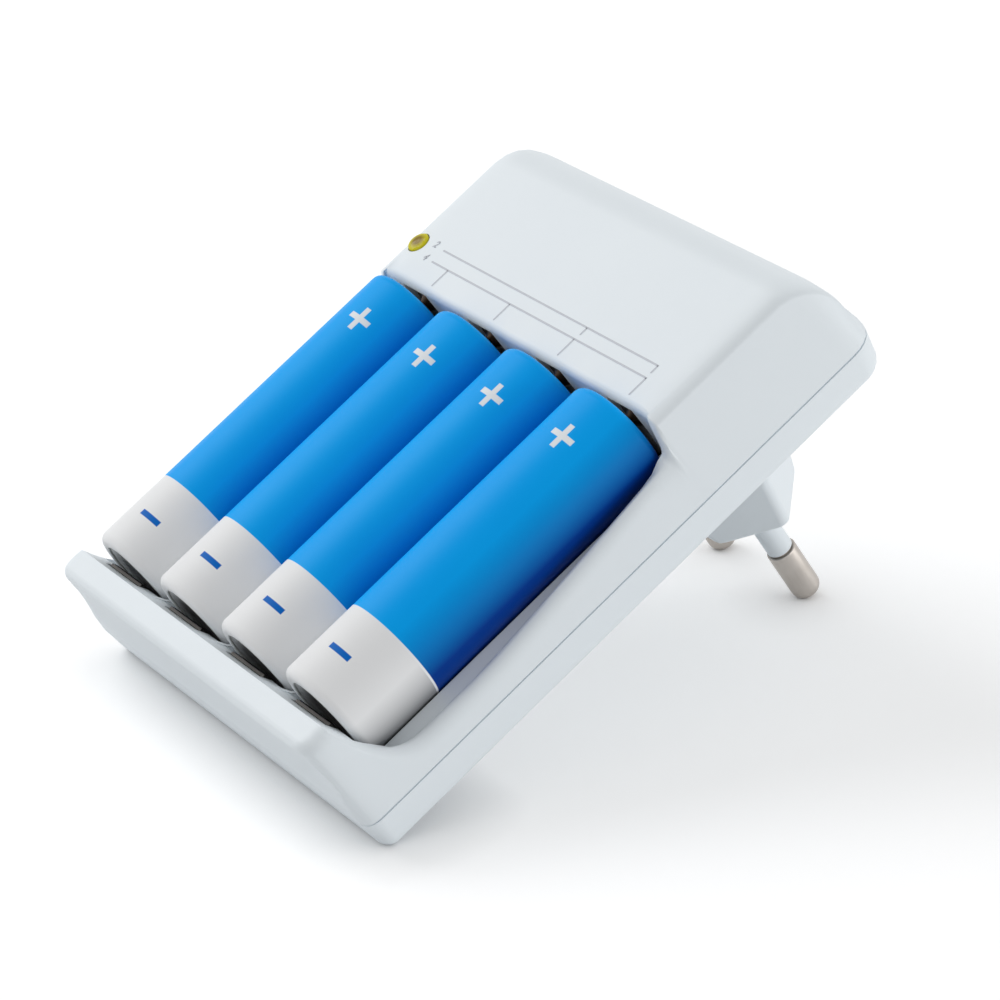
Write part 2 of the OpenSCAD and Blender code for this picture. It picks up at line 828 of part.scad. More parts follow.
// Flat body on two rows of four legs
module controller_chip() {
    color("#2b2b2d")
    translate([half_w - chip_in, plug_y - chip_down, board_top]) {
        translate([-chip_size[0] / 2, -chip_size[1] / 2, chip_lift])
            cube(chip_size);
        for (k = [-1.5 : 1.5]) for (s = [-1, 1])
            translate([k * chip_pitch - chip_leg[0] / 2, (s * chip_size[1] - chip_leg[1]) / 2, 0])
                cube(chip_leg);
    }
}

// Round body along x with two bent legs
module axial_part(d, length) {
    leg_out = length / 2 + leg_wire_out;
    translate([-length / 2, 0, d / 2])
        rotate([0, 90, 0])
            cylinder(h = length, d = d);
    translate([-leg_out, 0, d / 2])
        rotate([0, 90, 0])
            cylinder(h = 2 * leg_out, d = leg_wire_d);
    for (s = [-1, 1])
        translate([s * leg_out, 0, 0])
            cylinder(h = (d + leg_wire_d) / 2, d = leg_wire_d);
}

module rectifier_diodes() {
    color("#303036")
    for (k = [0 : DIODES - 1])
        translate([half_w - diode_in, diode_top_y - k * diode_pitch, board_top])
            axial_part(diode_d, diode_len);
}

module fuse_resistor() {
    color("#6f8f7a")
    translate([resistor_in - half_w, plug_y - resistor_down, board_top])
        axial_part(resistor_d, resistor_len);
}

// Upright on the plug: front toward -Y, pins toward +Y, cells along Z
module plugged_in() {
    rotate([90, 0, 0])
        translate([0, -plug_y, -plug_z])
            children();
}

plugged_in() {
    front_cover();
    rear_cover();
    circuit_board();
    status_led();
    cover_screws();
    plug_pin(-1);  // plug_pin_left
    plug_pin(1);  // plug_pin_right
    pin_sleeve(-1);  // pin_sleeve_left
    pin_sleeve(1);  // pin_sleeve_right
    for (i = [1 : CELLS]) {
        cell(i);
        positive_contact(i);
        negative_contact(i);
    }
    transformer_core();
    transformer_bobbin();
    mains_capacitor();
    output_capacitor();
    controller_chip();
    rectifier_diodes();
    fuse_resistor();
}
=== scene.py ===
"""Looks of the plug-in charger: smooth mouldings, wrapped cells, pins, lamp and the printed diagram."""
import math

import bpy
from mathutils import Matrix, Vector


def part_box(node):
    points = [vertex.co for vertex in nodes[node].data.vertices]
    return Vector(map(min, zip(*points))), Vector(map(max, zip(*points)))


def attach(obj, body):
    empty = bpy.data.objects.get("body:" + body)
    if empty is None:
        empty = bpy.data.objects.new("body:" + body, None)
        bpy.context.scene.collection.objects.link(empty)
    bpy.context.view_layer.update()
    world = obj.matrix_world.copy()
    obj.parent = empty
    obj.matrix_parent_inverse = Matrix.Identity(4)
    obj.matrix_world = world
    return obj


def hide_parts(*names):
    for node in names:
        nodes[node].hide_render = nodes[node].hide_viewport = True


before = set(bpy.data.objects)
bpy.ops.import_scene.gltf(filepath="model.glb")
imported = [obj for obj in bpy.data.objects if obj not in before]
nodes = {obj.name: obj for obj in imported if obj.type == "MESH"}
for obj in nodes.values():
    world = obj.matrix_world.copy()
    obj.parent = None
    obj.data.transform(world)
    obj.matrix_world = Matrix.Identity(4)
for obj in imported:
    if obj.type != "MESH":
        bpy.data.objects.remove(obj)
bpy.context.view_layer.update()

MM = 0.001
BODY = "root"
CELLS = 4
SIDES = ("left", "right")

# Vertices closer than WELD, in millimetres, are one; edges past these angles, in degrees, stay sharp
WELD = 0.002
FRONT_SHARP = 48
REAR_SHARP = 34
SCREW_SHARP = 40
CONTACT_SHARP = 30
TURNED_SHARP = 40
FLAT_WEIGHT = 50

# Places on the charger, in millimetres of the frame
HEAD_FACE_Y = -37.7
PARTING_Y = -25.5
REAR_FACE_Y = -20.0
PIN_LINE_Z = 0.0
SLEEVE_END_Y = 8.5
REAR_EDGE = 2.2
REAR_LEAN = 0.4
PIN_NOSE = 1.5

# Camera of the picture: places, lens and sensor in millimetres
CAMERA_PLACE = Vector((424.93, -334.30, -125.88))
CAMERA_AIM = Vector((11.53, -29.37, -26.58))
CAMERA_UP = Vector((-0.3206, -0.6569, 0.6825))
CAMERA_LENS = 155.16
SENSOR = 36.0
CLIP_START = 10.0


# Modelling by hand

def pick(obj):
    """Makes obj the only selected and active object."""
    bpy.ops.object.select_all(action="DESELECT")
    obj.select_set(True)
    bpy.context.view_layer.objects.active = obj


def edit(obj):
    """Edit mode with the whole mesh selected."""
    pick(obj)
    bpy.ops.object.mode_set(mode="EDIT")
    bpy.ops.mesh.select_all(action="SELECT")


def leave_edit():
    bpy.ops.object.mode_set(mode="OBJECT")


def edit_at(obj, inside):
    """Edit mode with only those vertices selected whose place in mm passes inside."""
    edit(obj)
    bpy.ops.mesh.select_mode(type="VERT")
    bpy.ops.mesh.select_all(action="DESELECT")
    leave_edit()
    for vertex in obj.data.vertices:
        vertex.select = inside(vertex.co / MM)
    bpy.ops.object.mode_set(mode="EDIT")


def weld():
    """Merges doubles among the selected vertices."""
    bpy.ops.mesh.remove_doubles(threshold=WELD * MM)


def turn_outward():
    """Selects the whole mesh in edit mode and turns its faces outward."""
    bpy.ops.mesh.select_all(action="SELECT")
    bpy.ops.mesh.normals_make_consistent(inside=False)


def smooth(obj, degrees):
    """Smooth shading, with edges past an angle left sharp."""
    pick(obj)
    bpy.ops.object.shade_smooth_by_angle(angle=math.radians(degrees))


def apply_modifier(obj, kind, **settings):
    pick(obj)
    modifier = obj.modifiers.new(kind.lower(), kind)
    for name, value in settings.items():
        setattr(modifier, name, value)
    bpy.ops.object.modifier_apply(modifier=modifier.name)


def press(piece, axis, depth, share, only=None):
    """Moves the skin of a piece along an axis by depth mm, each vertex by its share from 0 to 1."""
    group = piece.vertex_groups.new(name="pressed")
    for vertex in piece.data.vertices:
        weight = share(vertex.co / MM) if only is None or vertex.index in only else 0
        if weight > 0:
            group.add([vertex.index], weight, "REPLACE")
    apply_modifier(
        piece, "DISPLACE",
        direction=axis, mid_level=0.0, strength=depth * MM, vertex_group=group.name,
    )
    piece.vertex_groups.clear()


def dress(piece, slot, finish, *replaced):
    """Gives a piece its finish, its body and the solids it stands for; the slot argument is not used.
    """
    piece.data.materials.clear()
    piece.data.materials.append(finish)
    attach(piece, BODY)
    if replaced:
        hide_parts(*replaced)


def new_object(name, data):
    """Object for a mesh, a lamp or a camera, put in the scene."""
    thing = bpy.data.objects.new(name, data)
    bpy.context.scene.collection.objects.link(thing)
    return thing


def merged_copy(node, name):
    """Copy of a solid with its doubles welded."""
    piece = new_object(name, nodes[node].data.copy())
    edit(piece)
    weld()
    bpy.ops.mesh.customdata_custom_splitnormals_clear()
    leave_edit()
    return piece


def soften(piece, degrees):
    """Smooth rounded edges and true flats."""
    smooth(piece, degrees)
    apply_modifier(piece, "WEIGHTED_NORMAL", mode="FACE_AREA", keep_sharp=True, weight=FLAT_WEIGHT)


def moulded_copy(node, name, degrees):
    piece = merged_copy(node, name)
    soften(piece, degrees)
    return piece


def arc(centre, radius, start, end, steps=8):
    """Points of an arc in a lathe outline, angles in degrees from the radius axis."""
    angles = [math.radians(start + (end - start) * k / steps) for k in range(steps + 1)]
    return [(centre[0] + radius * math.cos(a), centre[1] + radius * math.sin(a)) for a in angles]


def turned(name, foot, along, outline, steps):
    """Spins an outline of (radius, height) in mm round the axis along through foot."""
    foot = Vector(foot) * MM
    along = Vector(along)
    outward = Vector((1, 0, 0))
    path = [foot + (outward * r + along * h) * MM for r, h in outline]
    bpy.ops.object.select_all(action="DESELECT")
    bpy.ops.mesh.primitive_plane_add(size=MM, location=path[0])
    piece = bpy.context.active_object
    piece.name = name
    bpy.ops.object.transform_apply(location=True, rotation=True, scale=True)
    edit(piece)
    bpy.ops.mesh.merge(type="CENTER")
    for here, there in zip(path, path[1:]):
        bpy.ops.mesh.extrude_region_move(TRANSFORM_OT_translate={"value": there - here})
    bpy.ops.mesh.select_all(action="SELECT")
    bpy.ops.mesh.spin(steps=steps, angle=math.tau, center=foot, axis=along)
    bpy.ops.mesh.select_all(action="SELECT")
    weld()
    turn_outward()
    leave_edit()
    smooth(piece, TURNED_SHARP)
    return piece


def own_copy(piece, name, shift):
    """Copy of a piece with a mesh of its own, moved by shift in mm."""
    twin = new_object(name, piece.data.copy())
    pick(twin)
    twin.location = Vector(shift) * MM
    bpy.ops.object.transform_apply(location=True, rotation=False, scale=False)
    return twin


# Finishes

SEEN_RAYS = ("Is Camera Ray", "Is Glossy Ray", "Is Transmission Ray")

# Colours as seen on a screen, 0 to 255, in pairs where a grain runs between two
PLASTIC_WHITES = ((232, 239, 244), (236, 243, 247))
SLEEVE_BLUES = ((0, 166, 250), (2, 172, 253))
# Painted shade: the darker blue where the sleeve turns away round one side of each cell
SLEEVE_PAINTED_SHADE = (0, 56, 142)
BAND_GREYS = ((238, 239, 240), (243, 244, 245))
# Painted shade: the darker grey where the band turns away round one side of each cell
BAND_PAINTED_SHADE = (150, 151, 153)
BAND_LINE_WHITE = (240, 243, 246)
PLUS_INK = (240, 244, 248)
MINUS_INK = (0, 104, 196)
CAN_STEELS = ((150, 148, 146), (186, 184, 181))
WASHER_PAPER = (236, 236, 232)
# Lamp resin: a deep yellow in the middle and painted light at its rim
RESIN_YELLOWS_PAINTED_LIGHT = ((128, 100, 10), (214, 204, 30))
INK_GREYS = ((186, 190, 198), (200, 204, 211))

# Soft edges of the print and of the bare steel, in millimetres
PRINT_EDGE = 0.08
SIGN_EDGE = 0.1
STEEL_EDGE = 0.06


def srgb(red, green, blue):
    """Colour seen on a screen, 0 to 255, as a linear colour for a socket."""
    channels = [c / 255 for c in (red, green, blue)]
    linear = [c / 12.92 if c < 0.04045 else ((c + 0.055) / 1.055) ** 2.4 for c in channels]
    return (*linear, 1.0)


class Socket:
    """An output in a node tree; arithmetic on it adds Math nodes."""

    def __init__(self, tree, output):
        self.tree = tree
        self.output = output

    def math(self, operation, a, b=0.0, clamp=False):
        settings = {"operation": operation, "use_clamp": clamp}
        return self.tree.node("ShaderNodeMath", settings, {0: a, 1: b})

    def __add__(self, other):
        return self.math("ADD", self, other)

    def __radd__(self, other):
        return self.math("ADD", other, self)

    def __sub__(self, other):
        return self.math("SUBTRACT", self, other)

    def __rsub__(self, other):
        return self.math("SUBTRACT", other, self)

    def __mul__(self, other):
        return self.math("MULTIPLY", self, other)

    def __rmul__(self, other):
        return self.math("MULTIPLY", other, self)

    def __truediv__(self, other):
        return self.math("DIVIDE", self, other)

    def __pow__(self, other):
        return self.math("POWER", self, other)

    def fraction(self):
        return self.math("FRACT", self)

    def most(self, other):
        return self.math("MAXIMUM", self, other)

    def turn_from(self, other):
        """Angle in radians whose tangent is self over other."""
        return self.math("ARCTAN2", self, other)

    def past(self, edge, soft):
        """0 below edge and 1 above it, over a soft width."""
        return self.math("ADD", (self - edge) / soft, 0.5, clamp=True)

    def within(self, half, soft):
        """1 where the value is less than half away from 0."""
        return 1 - self.math("ABSOLUTE", self).past(half, soft)


class Tree:
    """Nodes of a finish or of the backdrop."""

    def __init__(self, tree):
        self.tree = tree

    def node(self, kind, settings=None, inputs=None, output=0):
        """Any node: its settings first, then values or links of its sockets."""
        node = self.tree.nodes.new(kind)
        for name, value in (settings or {}).items():
            setattr(node, name, value)
        for key, value in (inputs or {}).items():
            self.feed(node.inputs[key], value)
        return Socket(self, node.outputs[output])

    def feed(self, socket, value):
        if isinstance(value, Socket):
            self.tree.links.new(value.output, socket)
        else:
            socket.default_value = value

    def seen(self):
        """1 for what shows to the camera, straight, in a mirror or through glass."""
        rays = [self.node("ShaderNodeLightPath", output=ray) for ray in SEEN_RAYS]
        straight, mirrored, through = rays
        return straight.most(mirrored).most(through)


class Finish(Tree):
    """A material with one principled shader."""

    def __init__(self, name, **constants):
        self.material = bpy.data.materials.new(name)
        self.material.use_nodes = True
        super().__init__(self.material.node_tree)
        self.shader = self.tree.nodes["Principled BSDF"]
        for socket, value in constants.items():
            self.shader.inputs[socket.replace("_", " ")].default_value = value

    def place(self):
        return self.node("ShaderNodeTexCoord", output="Object")

    def axes(self):
        """x, y and z of the place, in mm."""
        place = {0: self.place()}
        split = [self.node("ShaderNodeSeparateXYZ", None, place, output=k) for k in range(3)]
        return [axis / MM for axis in split]

    def noise(self, size, detail=2.0, stretch=(1, 1, 1)):
        """Noise with grains of about size mm, longer along a stretched axis."""
        spot = self.place()
        if stretch != (1, 1, 1):
            squeeze = tuple(1 / s for s in stretch)
            sides = {0: spot, 1: squeeze}
            spot = self.node("ShaderNodeVectorMath", {"operation": "MULTIPLY"}, sides)
        grain = {"Vector": spot, "Scale": 1 / (size * MM), "Detail": detail}
        return self.node("ShaderNodeTexNoise", None, grain)

    def mix(self, share, a, b):
        """Colour a where share is 0 and colour b where it is 1."""
        return self.node("ShaderNodeMix", {"data_type": "RGBA"}, {0: share, 6: a, 7: b}, output=2)

    def blend(self, share, pair):
        """Between the two colours of a pair."""
        first, second = pair
        return self.mix(share, srgb(*first), srgb(*second))

    def relief(self, height, depth, strength):
        """Fine relief of a depth in mm."""
        shape = {"Height": height, "Distance": depth * MM, "Strength": strength}
        bump = self.node("ShaderNodeBump", None, shape)
        self.feed(self.shader.inputs["Normal"], bump)

    def colour(self, value):
        self.feed(self.shader.inputs["Base Color"], value)

    def roughness(self, value):
        self.feed(self.shader.inputs["Roughness"], value)

    def metallic(self, value):
        self.feed(self.shader.inputs["Metallic"], value)


def white_plastic():
    finish = Finish("white_moulding", Specular_IOR_Level=0.35)
    finish.colour(finish.blend(finish.noise(24), PLASTIC_WHITES))
    finish.roughness(0.42 + 0.08 * finish.noise(2.5))
    finish.relief(finish.noise(0.22, 3), 0.01, 0.10)
    return finish.material


def cell_wrap(axis_y, foot_z, pitch, length):
    """Printed sleeve: blue over a pale band, with painted shade that darkens both round one side, and
    bare steel at both ends.
    """
    finish = Finish("cell_wrap", Specular_IOR_Level=0.08)
    x, y, z = finish.axes()
    across = ((x / pitch).fraction() - 0.5) * pitch
    out = axis_y - y
    radius = (across * across + out * out) ** 0.5
    up = z - foot_z
    turn = across.turn_from(out)
    # Painted shade: the sleeve and its band darken round one side of each cell
    painted_shade = turn.past(math.radians(PAINTED_SHADE_MIDDLE), math.radians(PAINTED_SHADE_WIDTH))
    blue = finish.blend(finish.noise(9, 1), SLEEVE_BLUES)
    blue = finish.mix(painted_shade, blue, srgb(*SLEEVE_PAINTED_SHADE))
    band = finish.blend(finish.noise(7, 1), BAND_GREYS)
    band_painted_shade = turn.past(math.radians(BAND_PAINTED_SHADE_MIDDLE), math.radians(BAND_PAINTED_SHADE_WIDTH))
    band = finish.mix(band_painted_shade, band, srgb(*BAND_PAINTED_SHADE))
    plus, minus = (cell_sign(turn * SIGN_R, up, middle) for middle in (PLUS_UP, MINUS_UP))
    blue = finish.mix(plus[0].most(plus[1]), blue, srgb(*PLUS_INK))
    band = finish.mix(minus[0], band, srgb(*MINUS_INK))
    wrap = finish.mix(up.past(BAND_TOP, PRINT_EDGE), band, srgb(*BAND_LINE_WHITE))
    wrap = finish.mix(up.past(BAND_TOP + BAND_LINE, PRINT_EDGE), wrap, blue)
    steel = finish.blend(finish.noise(0.5, 3), CAN_STEELS)
    high = up.past(length / 2, 1)
    steel_edge = BARE_R - high * (BARE_R - TERMINAL_FOOT_R)
    bare = 1 - (radius - steel_edge).past(0, STEEL_EDGE)
    washer = high * (1 - (radius - BARE_R).past(0, STEEL_EDGE))
    wrap = finish.mix(washer, wrap, srgb(*WASHER_PAPER))
    finish.colour(finish.mix(bare, wrap, steel))
    finish.metallic(bare)
    finish.roughness(0.40 + 0.06 * finish.noise(3) - 0.1 * bare)
    return finish.material


def cell_sign(round_way, up, middle):
    """The two bars of a polarity sign printed on the sleeve: across it and along it."""
    side = round_way - SIGN_ROUND
    rise = up - middle
    bars = ((SIGN_SIZE, SIGN_BAR), (SIGN_BAR, SIGN_SIZE))
    return [
        side.within(wide / 2, SIGN_EDGE) * rise.within(high / 2, SIGN_EDGE) for wide, high in bars
    ]


def plated(name, dark, light, grain, stretch, rough):
    """Plated metal with fine marks along the way it was worked."""
    finish = Finish(name, Metallic=1.0)
    marks = finish.noise(grain, 4, stretch)
    cloud = finish.noise(3.5)
    finish.colour(finish.blend(0.6 * cloud + 0.4 * marks, (dark, light)))
    finish.roughness(rough + 0.14 * marks)
    finish.relief(marks, 0.01, 0.12)
    return finish.material


def lamp_resin(centre):
    """Clear tinted resin with painted light: bright at its rim, where light leaves it, and deeper in
    the middle.
    """
    finish = Finish("lamp_resin", Coat_Weight=0.12, Coat_Roughness=0.04, Specular_IOR_Level=0.1)
    x, _, z = finish.axes()
    side = x - centre.x
    rise = z - centre.z
    radius = (side * side + rise * rise) ** 0.5
    # Painted light: the resin brightens towards its rim
    painted_rim_light = radius.past(LAMP_R - LAMP_PAINTED_LIGHT_RIM, LAMP_PAINTED_LIGHT_SOFT)
    finish.colour(finish.blend(painted_rim_light + 0.2 * finish.noise(0.8), RESIN_YELLOWS_PAINTED_LIGHT))
    finish.roughness(0.12 + 0.06 * finish.noise(0.4))
    return finish.material


def printing_ink():
    finish = Finish("printing_ink")
    finish.colour(finish.blend(finish.noise(0.3, 3), INK_GREYS))
    finish.roughness(0.5 + 0.1 * finish.noise(0.2))
    return finish.material


def mottled(name, dark, light, grain, rough):
    """Plain finish of the parts inside: two close colours in a grain."""
    finish = Finish(name)
    patches = finish.noise(grain, 4)
    finish.colour(finish.blend(patches, (dark, light)))
    finish.roughness(rough + 0.15 * patches)
    finish.relief(patches, 0.02, 0.2)
    return finish.material


# Front moulding: outer face of the lip hollowed under its roll, rims that slope into the bay,
# eased bay corners, low ends of the dividers; heights are taken from the parting plane

LIP_SKIN = 0.75
LIP_PRESS = 1.1
LIP_FACE_TOP = 11.5
LIP_FACE_FOOT = 2.4
LIP_CREASE = 0.9
LIP_ROWS = (11.35, 11.2, 11.05, 10.9, 10.75, 10.6, 10.3, 10.0, 9.5, 9.0, 8.2, 7.2, 6.0, 4.5)
LIP_COLUMNS = (25.0, 27.0, 28.5, 30.0, 31.5, 33.0)
LIP_FADE = (33.5, 25.0)
RIM_X = (31.8, 32.95)
RIM_COLUMNS = (32.2, 32.5, 32.95)
RIM_RISE = (-61.3, -58.5)
RIM_FALL = (-12.9, -15.5)
RIM_LEDGE = 3.55
LEDGE_REACH = 0.1
RIM_DROP = 0.9
CORNER_X = 31.95
CORNER_FOOT_Z = -14.0
CORNER_HEIGHT = 5.0
CORNER_PASSES = ((-11.7, 6), (-11.3, 2), (-11.0, 1))
SIDE_FOOT_X = 35.0
SIDE_LEAN = 0.2376
SIDE_SKIN = 0.05
RUB = 0.5
DIVIDER_END_Z = (-62.0, -61.2)
DIVIDER_TOP = 9.9
DIVIDER_SPAN = 17.0
DIVIDER_DROP = 2.6


def ramp(value, start, end):
    """Soft step from 0 at start to 1 at end."""
    share = min(1, max(0, (value - start) / (end - start)))
    return share * share * (3 - 2 * share)


def height_of(place):
    """Height of a place over the parting plane."""
    return PARTING_Y - place.y


def lip_share(place, low):
    """0 at the roll, the foot and the ends of the lip's outer face, more in between."""
    height = height_of(place)
    if place.z > low.z + LIP_SKIN or not LIP_FACE_FOOT < height < LIP_FACE_TOP:
        return 0
    taper = (height - LIP_FACE_FOOT) / (LIP_FACE_TOP - LIP_FACE_FOOT)
    crease = ramp(height, LIP_FACE_TOP, LIP_FACE_TOP - LIP_CREASE)
    return taper * crease * ramp(abs(place.x), *LIP_FADE)


def on_rim(place):
    """True on the side rims and the sides below them, down to the ledge."""
    outside = abs(place.x) > RIM_X[0] and height_of(place) > RIM_LEDGE
    return outside and RIM_RISE[0] < place.z < RIM_FALL[0]


def rim_share(place):
    """1 at the bay's edge of a side rim and on the ledge below it, 0 on the crown of the rim."""
    if on_rim(place):
        ends = ramp(place.z, *RIM_RISE) * ramp(place.z, *RIM_FALL)
        return ends * ramp(abs(place.x), RIM_X[1], RIM_X[0])
    at_edge = abs(abs(place.x) - RIM_X[0]) < LEDGE_REACH
    ledge = at_edge and RIM_LEDGE - LEDGE_REACH < height_of(place) < RIM_LEDGE
    return 1 if ledge else 0


def past_corner(place, end):
    """True on the rim just past the corners of the bay, up to an end at the head."""
    outside = abs(place.x) > CORNER_X and height_of(place) > CORNER_HEIGHT
    return outside and CORNER_FOOT_Z < place.z < end


def side_gap(place):
    """How far a place lies inside the flat side of the moulding."""
    return SIDE_FOOT_X - SIDE_LEAN * height_of(place) - abs(place.x)


def ease_corners(cover):
    """Rubs out the foot of the step past the corners of the bay and keeps the sides flat."""
    places = [vertex.co / MM for vertex in cover.data.vertices]
    last_end = CORNER_PASSES[-1][0]
    rubbed = [k for k, place in enumerate(places) if past_corner(place, last_end)]
    flat = {k for k in rubbed if side_gap(places[k]) < SIDE_SKIN}
    for end, passes in CORNER_PASSES:
        edit_at(cover, lambda place: past_corner(place, end))
        bpy.ops.mesh.vertices_smooth(factor=RUB, repeat=passes)
        leave_edit()
    for side in (-1, 1):
        press(cover, "X", side, side_gap, {k for k in flat if places[k].x * side > 0})


def divider_share(place):
    """1 on the tops of the dividers' ends behind the lip, 0 elsewhere."""
    back, front = DIVIDER_END_Z
    top = abs(place.x) < DIVIDER_SPAN and height_of(place) > DIVIDER_TOP
    return 1 if top and back < place.z < front else 0


def make_front(plastic):
    low, _ = (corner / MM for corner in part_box("front_cover"))
    cover = merged_copy("front_cover", "front_moulding")
    rows = [((0, PARTING_Y - height, 0), (0, 1, 0)) for height in LIP_ROWS]
    columns = [((side * x, 0, 0), (1, 0, 0)) for x in LIP_COLUMNS for side in (-1, 1)]
    for spot, normal in rows + columns:
        edit_at(cover, lambda place: place.z < low.z + LIP_SKIN)
        bpy.ops.mesh.bisect(plane_co=Vector(spot) * MM, plane_no=normal)
        leave_edit()
    for x in [side * x for x in RIM_COLUMNS for side in (-1, 1)]:
        edit_at(cover, on_rim)
        bpy.ops.mesh.bisect(plane_co=(x * MM, 0, 0), plane_no=(1, 0, 0))
        leave_edit()
    press(cover, "Z", LIP_PRESS, lambda place: lip_share(place, low))
    press(cover, "Y", DIVIDER_DROP, divider_share)
    press(cover, "Y", RIM_DROP, rim_share)
    ease_corners(cover)
    soften(cover, FRONT_SHARP)
    dress(cover, "white_plastic", plastic, "front_cover")


# Cells: wrapped can with rolled shoulders, a dished steel end and a raised terminal

SHOULDER_R = 1.1
BARE_R = 5.4
BARE_DEPTH = 0.25
TERMINAL_R = 2.75
TERMINAL_FOOT_R = 3.1
TERMINAL_H = 0.9
TERMINAL_EDGE = 0.3
TERMINAL_STEPS = 5
DISH = 0.1
DISH_SLOPE = (1.1, 0.7)
CELL_STEPS = 96
# Points of the sleeve's folded ends: out from the bare steel, and up from the foot or the top
FOOT_FOLD = ((0, BARE_DEPTH), (0.02, 0.12), (0.08, 0.03), (0.2, 0))
TOP_FOLD = ((0.2, 0), (0.05, -0.06), (0, -0.2))
# Points of the washer round the terminal: radius, and up from the top of the sleeve
WASHER = ((TERMINAL_FOOT_R, -0.2), (TERMINAL_FOOT_R - 0.1, -0.1), (TERMINAL_R, 0.1))
BAND_TOP = 11.2
BAND_LINE = 0.28
# Angles in degrees round each cell where the painted shade of the sleeve and of its band sets in, and
# over what width
PAINTED_SHADE_MIDDLE = 72
PAINTED_SHADE_WIDTH = 56
BAND_PAINTED_SHADE_MIDDLE = 98
BAND_PAINTED_SHADE_WIDTH = 40
SIGN_R = 7.25
SIGN_ROUND = 2.0
SIGN_SIZE = 3.6
SIGN_BAR = 0.8
PLUS_UP = 42.5
MINUS_UP = 5.8


def cell_outline(radius, length):
    """Lathe outline of a cell, from the middle of its foot to the middle of its terminal."""
    top = length - TERMINAL_H
    turn = radius - SHOULDER_R
    deep, flat = (BARE_R - step for step in DISH_SLOPE)
    foot = [(0, BARE_DEPTH + DISH), (deep, BARE_DEPTH + DISH), (flat, BARE_DEPTH)]
    foot += [(BARE_R + out, up) for out, up in FOOT_FOLD]
    wrap = arc((turn, SHOULDER_R), SHOULDER_R, -90, 0)
    wrap += arc((turn, top - SHOULDER_R), SHOULDER_R, 0, 90)
    end = [(BARE_R + out, top + up) for out, up in TOP_FOLD]
    end += [(out, top + up) for out, up in WASHER]
    corner = (TERMINAL_R - TERMINAL_EDGE, length - TERMINAL_EDGE)
    button = arc(corner, TERMINAL_EDGE, 0, 90, TERMINAL_STEPS) + [(0, length)]
    return foot + wrap + end + button


def make_cells():
    low, high = (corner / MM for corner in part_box("cell_1"))
    next_low, _ = (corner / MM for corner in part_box("cell_2"))
    pitch = next_low.x - low.x
    axis = (low + high) / 2
    radius = (high.y - low.y) / 2
    length = high.z - low.z
    foot = (axis.x, axis.y, low.z)
    outline = cell_outline(radius, length)
    cells = [turned("cell_1_wrapped", foot, (0, 0, 1), outline, CELL_STEPS)]
    finish = cell_wrap(axis.y, low.z, pitch, length)
    for i in range(1, CELLS):
        cells.append(own_copy(cells[0], f"cell_{i + 1}_wrapped", (i * pitch, 0, 0)))
    for i, cell in enumerate(cells, 1):
        dress(cell, "cell_wrap", finish, f"cell_{i}")


# Pins: full round-nosed ends, each with a fine dark groove where its thinner sleeve stops

PIN_R = 2.0
CORE_R = 1.5
SLEEVE_R = 1.75
SLEEVE_SEAT = 2.0
GROOVE = 0.25
PIN_EDGE = 0.15
SLEEVE_EDGE = 0.12
SLEEVE_AIR = 0.05
PIN_STEPS = 64
EDGE_STEPS = 4
NOSE_STEPS = 12


def make_pins(nickel, plastic):
    low, high = (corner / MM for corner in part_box("plug_pin_right"))
    x = (low.x + high.x) / 2
    tip = high.y
    bare = SLEEVE_END_Y + GROOVE
    bore = CORE_R + SLEEVE_AIR
    pin_outline = (
        [(0, low.y), (CORE_R, low.y), (CORE_R, bare), (PIN_R - PIN_EDGE, bare)]
        + arc((PIN_R - PIN_EDGE, bare + PIN_EDGE), PIN_EDGE, -90, 0, EDGE_STEPS)
        + arc((PIN_R - PIN_NOSE, tip - PIN_NOSE), PIN_NOSE, 0, 90, NOSE_STEPS)
        + [(0, tip)]
    )
    sleeve_corner = (SLEEVE_R - SLEEVE_EDGE, SLEEVE_END_Y - SLEEVE_EDGE)
    sleeve_outline = (
        [(bore, -SLEEVE_SEAT), (SLEEVE_R, -SLEEVE_SEAT)]
        + arc(sleeve_corner, SLEEVE_EDGE, 0, 90, EDGE_STEPS)
        + [(bore, SLEEVE_END_Y), (bore, -SLEEVE_SEAT)]
    )
    foot = (x, 0, PIN_LINE_Z)
    pin = turned("plug_pin_right_turned", foot, (0, 1, 0), pin_outline, PIN_STEPS)
    sleeve = turned("pin_sleeve_right_turned", foot, (0, 1, 0), sleeve_outline, PIN_STEPS)
    shift = (-2 * x, 0, 0)
    pins = {"left": own_copy(pin, "plug_pin_left_turned", shift), "right": pin}
    sleeves = {"left": own_copy(sleeve, "pin_sleeve_left_turned", shift), "right": sleeve}
    for side in SIDES:
        dress(pins[side], "nickel", nickel, f"plug_pin_{side}")
        dress(sleeves[side], "white_plastic", plastic, f"pin_sleeve_{side}")


# Status lamp: flanged body with a low dome that fills its hole

LAMP_R = 1.52
LAMP_BODY_R = 1.45
LAMP_FLANGE_R = 1.9
LAMP_FLANGE_H = 0.8
LAMP_COLLAR = 0.3
LAMP_DOME = 0.36
# Width and softness of the painted light at the lamp's rim
LAMP_PAINTED_LIGHT_RIM = 0.55
LAMP_PAINTED_LIGHT_SOFT = 0.8
LAMP_STEPS = 48
DOME_STEPS = 12


